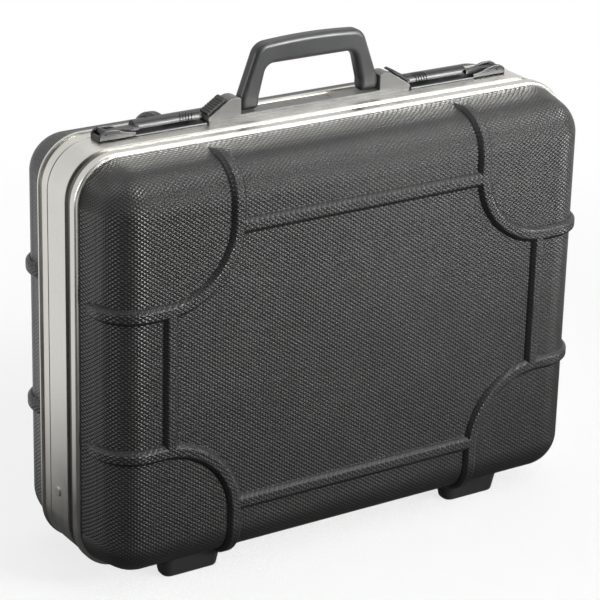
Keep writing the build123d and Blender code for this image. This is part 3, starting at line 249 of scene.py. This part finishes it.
def window(tree, value, rise_from, rise_to, fall_from, fall_to):
    """A mask that rises over one span of a value and falls over another."""
    up = add_node(tree, "ShaderNodeMapRange", {"Value": value, "From Min": rise_from, "From Max": rise_to}).outputs[0]
    down = add_node(
        tree, "ShaderNodeMapRange",
        {"Value": value, "From Min": fall_from, "From Max": fall_to, "To Min": 1.0, "To Max": 0.0},
    ).outputs[0]
    return maths(tree, "MULTIPLY", up, down)


flank = maths(emboss, "MULTIPLY", window(emboss, raised, 0.0002, 0.0005, 0.0036, 0.004), bent)
crease = maths(emboss, "MULTIPLY", window(emboss, raised, 0.00005, 0.0003, 0.0011, 0.0018), bent)
bare = maths(emboss, "SUBTRACT", 1.0, maths(emboss, "MULTIPLY", flank, 0.5))
emboss.links.new(maths(emboss, "MULTIPLY", pyramid, bare), ends_out.inputs["Height"])
emboss.links.new(flank, ends_out.inputs["Flank"])
emboss.links.new(crease, ends_out.inputs["Crease"])

dust, ends_in, ends_out = new_group(
    "dust",
    [("Scale", "NodeSocketFloat", 14.0)],
    [("Mask", "NodeSocketFloat"), ("Mottle", "NodeSocketFloat")],
)
coords = add_node(dust, "ShaderNodeTexCoord")
facing = add_node(dust, "ShaderNodeSeparateXYZ", {0: coords.outputs["Normal"]})
clouds = add_node(
    dust, "ShaderNodeTexNoise",
    {"Vector": coords.outputs["Object"], "Scale": ends_in.outputs["Scale"], "Detail": 6.0, "Roughness": 0.62},
)
specks = add_node(
    dust, "ShaderNodeTexNoise", {"Vector": coords.outputs["Object"], "Scale": 900.0, "Detail": 2.0}
)
upturned = add_node(
    dust, "ShaderNodeMapRange", {"Value": facing.outputs[2], "From Min": 0.1, "From Max": 1.0, "To Min": 0.15, "To Max": 1.0}
).outputs[0]
patches = add_node(
    dust, "ShaderNodeMapRange", {"Value": clouds.outputs["Fac"], "From Min": 0.42, "From Max": 0.72}
).outputs[0]
grains = add_node(
    dust, "ShaderNodeMapRange", {"Value": specks.outputs["Fac"], "From Min": 0.45, "From Max": 0.65}
).outputs[0]
dust.links.new(
    maths(dust, "MULTIPLY", maths(dust, "MULTIPLY", upturned, patches), grains), ends_out.inputs["Mask"]
)
dust.links.new(clouds.outputs["Fac"], ends_out.inputs["Mottle"])


def shade(name, **constants):
    """Makes a material with a Principled shader and returns it, its tree and its shader."""
    material = bpy.data.materials.new(name)
    tree = new_tree(material)
    shader = add_node(tree, "ShaderNodeBsdfPrincipled", {label: value for label, value in constants.items()})
    add_node(tree, "ShaderNodeOutputMaterial", {"Surface": shader.outputs[0]})
    return material, tree, shader


def grouped(tree, group, inputs=None):
    """Adds a group node to a tree."""
    node = tree.nodes.new("ShaderNodeGroup")
    node.node_tree = group
    for name, value in (inputs or {}).items():
        node.inputs[name].default_value = value
    return node


def blend_colour(tree, factor, first, second):
    """Mixes two colours by a factor and returns the result."""
    return add_node(
        tree, "ShaderNodeMix", {0: factor, 6: first, 7: second}, data_type="RGBA"
    ).outputs[2]


def spread(tree, value, low, high, start=0.3, end=0.7):
    """Maps a noise value onto a range and returns it."""
    return add_node(
        tree, "ShaderNodeMapRange",
        {"Value": value, "From Min": start, "From Max": end, "To Min": low, "To Max": high},
    ).outputs[0]


shell_material, tree, shader = shade("shell_abs", **{"IOR": 1.46})
pyramids = grouped(tree, emboss)
dusty = grouped(tree, dust)
tip = maths(tree, "POWER", pyramids.outputs["Height"], 1.4)
# Painted shade: the emboss's valleys are painted near-black and its tips greyer, as the shade in its hollows.
tint = blend_colour(tree, tip, (0.004, 0.004, 0.004, 1), (0.042, 0.042, 0.039, 1))
tint = blend_colour(
    tree, maths(tree, "MULTIPLY", dusty.outputs["Mask"], 0.12), tint, (0.16, 0.155, 0.145, 1)
)
# Painted shade: the ribs' flanks are painted darker, as the shade on their sides.
tint = blend_colour(tree, pyramids.outputs["Flank"], tint, (0.01, 0.01, 0.01, 1))
# Painted shade: the crease at each rib's foot is painted near-black, as the shade in it.
tint = blend_colour(tree, pyramids.outputs["Crease"], tint, (0.001, 0.001, 0.001, 1))
rough = maths(tree, "SUBTRACT", spread(tree, dusty.outputs["Mottle"], 0.36, 0.44), maths(tree, "MULTIPLY", tip, 0.1))
rough = maths(tree, "ADD", rough, maths(tree, "MULTIPLY", pyramids.outputs["Crease"], 0.35))
tree.links.new(tint, shader.inputs["Base Color"])
tree.links.new(rough, shader.inputs["Roughness"])
bump = add_node(tree, "ShaderNodeBump", {"Height": pyramids.outputs["Height"], "Distance": PYRAMID_HEIGHT, "Strength": 1.0})
tree.links.new(bump.outputs[0], shader.inputs["Normal"])


def dress(material, *names):
    """Gives CAD nodes a material."""
    for name in names:
        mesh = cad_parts[name].data
        mesh.materials.clear()
        mesh.materials.append(material)


dress(shell_material, "front_shell", "back_shell")

# ---------------------------------------------------------------- rails
# Drawn and anodised aluminium: satin, with fine lines along its length.

GROOVE_FRONT_Y = -0.0215
GROOVE_BACK_Y = -0.0139

lines, ends_in, ends_out = new_group(
    "drawn_lines",
    [("Stretch", "NodeSocketVector", (6.0, 1500.0, 6.0))],
    [("Height", "NodeSocketFloat"), ("Mottle", "NodeSocketFloat")],
)
coords = add_node(lines, "ShaderNodeTexCoord")
scaled = add_node(
    lines, "ShaderNodeVectorMath",
    {0: coords.outputs["Object"], 1: ends_in.outputs["Stretch"]}, operation="MULTIPLY",
)
streaks = add_node(lines, "ShaderNodeTexNoise", {"Vector": scaled.outputs[0], "Scale": 1.0, "Detail": 5.0, "Roughness": 0.6})
blotches = add_node(lines, "ShaderNodeTexNoise", {"Vector": coords.outputs["Object"], "Scale": 22.0, "Detail": 4.0})
lines.links.new(streaks.outputs["Fac"], ends_out.inputs["Height"])
lines.links.new(blotches.outputs["Fac"], ends_out.inputs["Mottle"])

rail_material, tree, shader = shade("rail_aluminium", **{"Metallic": 1.0})
drawn = grouped(tree, lines)
tint = blend_colour(tree, drawn.outputs["Mottle"], (0.55, 0.54, 0.5, 1), (0.66, 0.65, 0.61, 1))
across_rail = add_node(tree, "ShaderNodeSeparateXYZ", {0: add_node(tree, "ShaderNodeTexCoord").outputs["Object"]}).outputs[1]
# Painted shade: the front rail's groove is painted near-black, as the shade inside it.
painted_groove_shade = maths(
    tree, "MULTIPLY",
    spread(tree, across_rail, 0.0, 1.0, GROOVE_FRONT_Y - 0.0012, GROOVE_FRONT_Y),
    spread(tree, across_rail, 1.0, 0.0, GROOVE_BACK_Y, GROOVE_BACK_Y + 0.0004),
)
tint = blend_colour(tree, maths(tree, "MULTIPLY", painted_groove_shade, 0.86), tint, (0.05, 0.05, 0.045, 1))
tree.links.new(tint, shader.inputs["Base Color"])
rough = maths(
    tree, "ADD", spread(tree, drawn.outputs["Mottle"], 0.24, 0.34), spread(tree, drawn.outputs["Height"], -0.05, 0.08)
)
tree.links.new(rough, shader.inputs["Roughness"])
bump = add_node(tree, "ShaderNodeBump", {"Height": drawn.outputs["Height"], "Distance": 0.00004, "Strength": 0.6})
tree.links.new(bump.outputs[0], shader.inputs["Normal"])
dress(rail_material, "front_rail", "back_rail")

# ---------------------------------------------------------------- handle and base
# The handle is satin black plastic with a fine spark-eroded grain. Its base is a
# light grey moulding.

grain, ends_in, ends_out = new_group(
    "moulded_grain",
    [("Scale", "NodeSocketFloat", 1400.0)],
    [("Height", "NodeSocketFloat"), ("Mottle", "NodeSocketFloat")],
)
coords = add_node(grain, "ShaderNodeTexCoord")
fine = add_node(
    grain, "ShaderNodeTexNoise",
    {"Vector": coords.outputs["Object"], "Scale": ends_in.outputs["Scale"], "Detail": 3.0, "Roughness": 0.55},
)
broad = add_node(grain, "ShaderNodeTexNoise", {"Vector": coords.outputs["Object"], "Scale": 30.0, "Detail": 5.0})
grain.links.new(fine.outputs["Fac"], ends_out.inputs["Height"])
grain.links.new(broad.outputs["Fac"], ends_out.inputs["Mottle"])


def moulded(name, dark, light, rough_low, rough_high, distance=0.00005, **constants):
    """A grained plastic or paint with a slightly uneven colour and sheen."""
    material, tree, shader = shade(name, **constants)
    surface = grouped(tree, grain)
    tree.links.new(blend_colour(tree, surface.outputs["Mottle"], dark, light), shader.inputs["Base Color"])
    tree.links.new(spread(tree, surface.outputs["Mottle"], rough_low, rough_high), shader.inputs["Roughness"])
    bump = add_node(tree, "ShaderNodeBump", {"Height": surface.outputs["Height"], "Distance": distance, "Strength": 0.7})
    tree.links.new(bump.outputs[0], shader.inputs["Normal"])
    return material


handle_material = moulded("handle_plastic", (0.014, 0.0145, 0.0145, 1), (0.026, 0.0265, 0.0265, 1), 0.3, 0.42)
base_material = moulded("base_plastic", (0.085, 0.085, 0.08, 1), (0.11, 0.11, 0.105, 1), 0.38, 0.5)
dress(handle_material, "handle")
dress(base_material, "handle_base")

# ---------------------------------------------------------------- latches and keepers
# Black painted steel levers and bases, semi-gloss.

BAND_TOP = 0.3638
SLOPE_TOP = (0.079, BAND_TOP + 0.0168)  # x and z of the block's shoulder
SLOPE_TOE = (0.0975, BAND_TOP + 0.005)
KEY_GAP = 0.00115  # under the button's cover, for its travel
KEY_THICKNESS = 0.0023
KEY_SPAN = (0.0011, 0.0134)  # front and back, in y
KEY_GROOVES = 6
KEY_GROOVE_PITCH = 0.0026
KEY_GROOVE_WIDTH = 0.0009
KEY_GROOVE_DEPTH = 0.0006

latch_material = moulded("latch_paint", (0.006, 0.006, 0.007, 1), (0.012, 0.012, 0.013, 1), 0.3, 0.42, 0.00002)
button_material = moulded("button_plastic", (0.004, 0.004, 0.004, 1), (0.009, 0.009, 0.009, 1), 0.4, 0.5)


def prisms(name, outlines, material, bevel, segments=2):
    """Joins bars into one mesh: each is an outline in x and z, run from one y to another."""
    work = bmesh.new()
    for outline, start_y, end_y in outlines:
        front = [work.verts.new((x, start_y, z)) for x, z in outline]
        rear = [work.verts.new((x, end_y, z)) for x, z in outline]
        work.faces.new(front)
        work.faces.new(list(reversed(rear)))
        for k in range(len(outline)):
            after = (k + 1) % len(outline)
            work.faces.new((front[k], rear[k], rear[after], front[after]))
    bmesh.ops.recalc_face_normals(work, faces=work.faces)
    mesh = bpy.data.meshes.new(name)
    work.to_mesh(mesh)
    work.free()
    mesh.materials.append(material)
    piece = bpy.data.objects.new(name, mesh)
    scene.collection.objects.link(piece)
    if bevel:
        rounding = piece.modifiers.new("rounding", "BEVEL")
        rounding.width = bevel
        rounding.segments = segments
        rounding.limit_method = "ANGLE"
        rounding.angle_limit = math.radians(40)
    return piece


def key_outline(side):
    """The grooved cover of a release button, lying on its block's slope."""
    run, fall = SLOPE_TOE[0] - SLOPE_TOP[0], SLOPE_TOE[1] - SLOPE_TOP[1]
    length = math.hypot(run, fall)
    low, high = KEY_GAP, KEY_GAP + KEY_THICKNESS
    line = [(0.0002, low), (0.0002, high - 0.0012), (0.0012, high)]
    first = (length - KEY_GROOVES * KEY_GROOVE_PITCH) / 2 + 0.0016
    for k in range(KEY_GROOVES):
        start = first + k * KEY_GROOVE_PITCH
        line += [
            (start, high), (start + KEY_GROOVE_WIDTH / 4, high - KEY_GROOVE_DEPTH),
            (start + KEY_GROOVE_WIDTH * 3 / 4, high - KEY_GROOVE_DEPTH), (start + KEY_GROOVE_WIDTH, high),
        ]
    line += [(length - 0.0016, high), (length - 0.0008, high - 0.0012), (length - 0.0008, low)]
    return [
        (side * (SLOPE_TOP[0] + (t * run - h * fall) / length), SLOPE_TOP[1] + (t * fall + h * run) / length)
        for t, h in line
    ]


for word, side in (("right", 1), ("left", -1)):
    key = prisms(f"{word}_button_key", [(key_outline(side), *KEY_SPAN)], button_material, 0.00025)
    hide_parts(f"{word}_button")
    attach(key, f"{word}_button")

# Each latch base is folded from one plate, with cheeks that hold the lever's pin
BASE_SPAN = (-0.0002, 0.0147)
BASE_START_X, BASE_END_X = 0.0985, 0.196
BASE_THICKNESS = 0.0016
CHEEK_THICKNESS = 0.0022
CHEEK_LINE = (
    (0.163, 0.0), (0.163, 0.0036), (0.172, 0.0052), (0.1795, 0.008), (0.1835, 0.0086), (0.1905, 0.0086),
    (0.1945, 0.0066), (BASE_END_X, 0.0044), (BASE_END_X, 0.0),
)
for word, side in (("right", 1), ("left", -1)):
    plate = [
        (side * x, BAND_TOP + z)
        for x, z in ((BASE_START_X, 0), (BASE_START_X, BASE_THICKNESS), (BASE_END_X, BASE_THICKNESS), (BASE_END_X, 0))
    ]
    cheek = [(side * x, BAND_TOP + z) for x, z in CHEEK_LINE]
    end_wall = [
        (side * x, BAND_TOP + z)
        for x, z in ((0.1938, 0.001), (0.1938, 0.0048), (BASE_END_X, 0.0044), (BASE_END_X, 0.001))
    ]
    base = prisms(
        f"{word}_latch_frame",
        [
            (plate, *BASE_SPAN),
            (cheek, BASE_SPAN[0], BASE_SPAN[0] + CHEEK_THICKNESS),
            (cheek, BASE_SPAN[1] - CHEEK_THICKNESS, BASE_SPAN[1]),
            (end_wall, BASE_SPAN[0] + 0.001, BASE_SPAN[1] - 0.001),
        ],
        latch_material, 0.0005,
    )
    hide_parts(f"{word}_latch_base")
    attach(base, "case_front")

dress(latch_material, "right_lever", "left_lever", "right_keeper", "left_keeper", "base_plate", "lever_pins")

# ---------------------------------------------------------------- feet and seal
# Black rubber.

rubber_material = moulded("foot_rubber", (0.012, 0.012, 0.012, 1), (0.024, 0.024, 0.024, 1), 0.5, 0.65, 0.0001)
dress(rubber_material, "front_feet", "back_feet", "seal")

# ---------------------------------------------------------------- hinges, stays, pins
# Plated steel with a brushed grain.

steel_material, tree, shader = shade("plated_steel", **{"Metallic": 1.0})
drawn = grouped(tree, lines, {"Stretch": (60.0, 60.0, 1200.0)})
tint = blend_colour(tree, drawn.outputs["Mottle"], (0.48, 0.475, 0.46, 1), (0.62, 0.615, 0.6, 1))
tree.links.new(tint, shader.inputs["Base Color"])
tree.links.new(spread(tree, drawn.outputs["Height"], 0.24, 0.4), shader.inputs["Roughness"])
bump = add_node(tree, "ShaderNodeBump", {"Height": drawn.outputs["Height"], "Distance": 0.00003, "Strength": 0.6})
tree.links.new(bump.outputs[0], shader.inputs["Normal"])
dress(
    steel_material, "handle_pins", "front_hinge_leaves", "back_hinge_leaves", "hinge_pins",
    "front_splice", "back_splice", "stay_front_pins", "stay_back_pins", "right_front_link",
    "left_front_link", "right_back_link", "left_back_link", "right_link_rivet", "left_link_rivet",
)

# ---------------------------------------------------------------- small rivets
# Domed rivets hold the hinge leaves and the splice plates to the rails. Their heads
# show on the underside, in rows on each hinge leaf and beside the rails' joints.

HINGE_X = 0.13
LEAF_RIVET_PITCH = 0.022
LEAF_RIVETS = (-1.5, -0.5, 0.5, 1.5)  # places along a leaf, in pitches
SPLICE_RIVET_X = (-0.016, -0.006, 0.006, 0.016)
FRONT_LEAF_WIDTH = 0.015
BACK_LEAF_WIDTH = 0.0056


def rivet_maker():
    """A node tree that sets a domed rivet head on each vertex of a mesh."""
    nodes = bpy.data.node_groups.new("rivet_heads", "GeometryNodeTree")
    nodes.interface.new_socket("Places", in_out="INPUT", socket_type="NodeSocketGeometry")
    nodes.interface.new_socket("Head Radius", in_out="INPUT", socket_type="NodeSocketFloat")
    nodes.interface.new_socket("Head Height", in_out="INPUT", socket_type="NodeSocketFloat")
    nodes.interface.new_socket("Metal", in_out="INPUT", socket_type="NodeSocketMaterial")
    nodes.interface.new_socket("Heads", in_out="OUTPUT", socket_type="NodeSocketGeometry")
    ends_in, ends_out = nodes.nodes.new("NodeGroupInput"), nodes.nodes.new("NodeGroupOutput")
    dome = add_node(nodes, "GeometryNodeMeshUVSphere", {"Segments": 28, "Rings": 14, "Radius": 1.0})
    shape = add_node(
        nodes, "ShaderNodeCombineXYZ",
        {0: ends_in.outputs["Head Radius"], 1: ends_in.outputs["Head Radius"], 2: ends_in.outputs["Head Height"]},
    )
    head = add_node(nodes, "GeometryNodeTransform", {"Geometry": dome.outputs["Mesh"], "Scale": shape.outputs[0]})
    smooth = add_node(nodes, "GeometryNodeSetShadeSmooth", {"Geometry": head.outputs[0]})
    set_out = add_node(
        nodes, "GeometryNodeInstanceOnPoints", {"Points": ends_in.outputs["Places"], "Instance": smooth.outputs[0]}
    )
    real = add_node(nodes, "GeometryNodeRealizeInstances", {"Geometry": set_out.outputs[0]})
    finished = add_node(
        nodes, "GeometryNodeSetMaterial", {"Geometry": real.outputs[0], "Material": ends_in.outputs["Metal"]}
    )
    nodes.links.new(finished.outputs[0], ends_out.inputs[0])
    return nodes


rivet_nodes = rivet_maker()


def rivet_heads(name, places, radius, height):
    """Makes one plain mesh of rivet heads at the places."""
    points = bpy.data.meshes.new(name + "_places")
    points.from_pydata(places, [], [])
    holder = bpy.data.objects.new(name + "_places", points)
    scene.collection.objects.link(holder)
    making = holder.modifiers.new("rivets", "NODES")
    making.node_group = rivet_nodes
    values = {"Head Radius": radius, "Head Height": height, "Metal": steel_material}
    for socket in rivet_nodes.interface.items_tree:
        if socket.name in values:
            making[socket.identifier] = values[socket.name]
    holder.update_tag()
    bpy.context.view_layer.update()
    made = holder.evaluated_get(bpy.context.evaluated_depsgraph_get())
    mesh = bpy.data.meshes.new_from_object(made)
    mesh.name = name
    bpy.data.objects.remove(holder)
    piece = bpy.data.objects.new(name, mesh)
    scene.collection.objects.link(piece)
    return piece


leaf_low, leaf_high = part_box("front_hinge_leaves")
back_low, back_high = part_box("back_hinge_leaves")
rail_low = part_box("front_rail")[0]
LEAF_FACE_Z = 0.0107
BAND_FACE_Z = 0.0122
SPLICE_FRONT_Y = -0.001
SPLICE_BACK_Y = 0.0205
for body, name, leaf_y, splice_y, radius in (
    ("case_front", "front", leaf_low[1] + FRONT_LEAF_WIDTH / 2, SPLICE_FRONT_Y, 0.0024),
    ("case_back", "back", back_high[1] - BACK_LEAF_WIDTH / 2, SPLICE_BACK_Y, 0.0017),
):
    spots = [
        (side * HINGE_X + step * LEAF_RIVET_PITCH, leaf_y, LEAF_FACE_Z) for side in (-1, 1) for step in LEAF_RIVETS
    ]
    spots += [(x, splice_y, BAND_FACE_Z) for x in SPLICE_RIVET_X]
    heads = rivet_heads(f"{name}_small_rivets", spots, radius, 0.001)
    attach(heads, body)
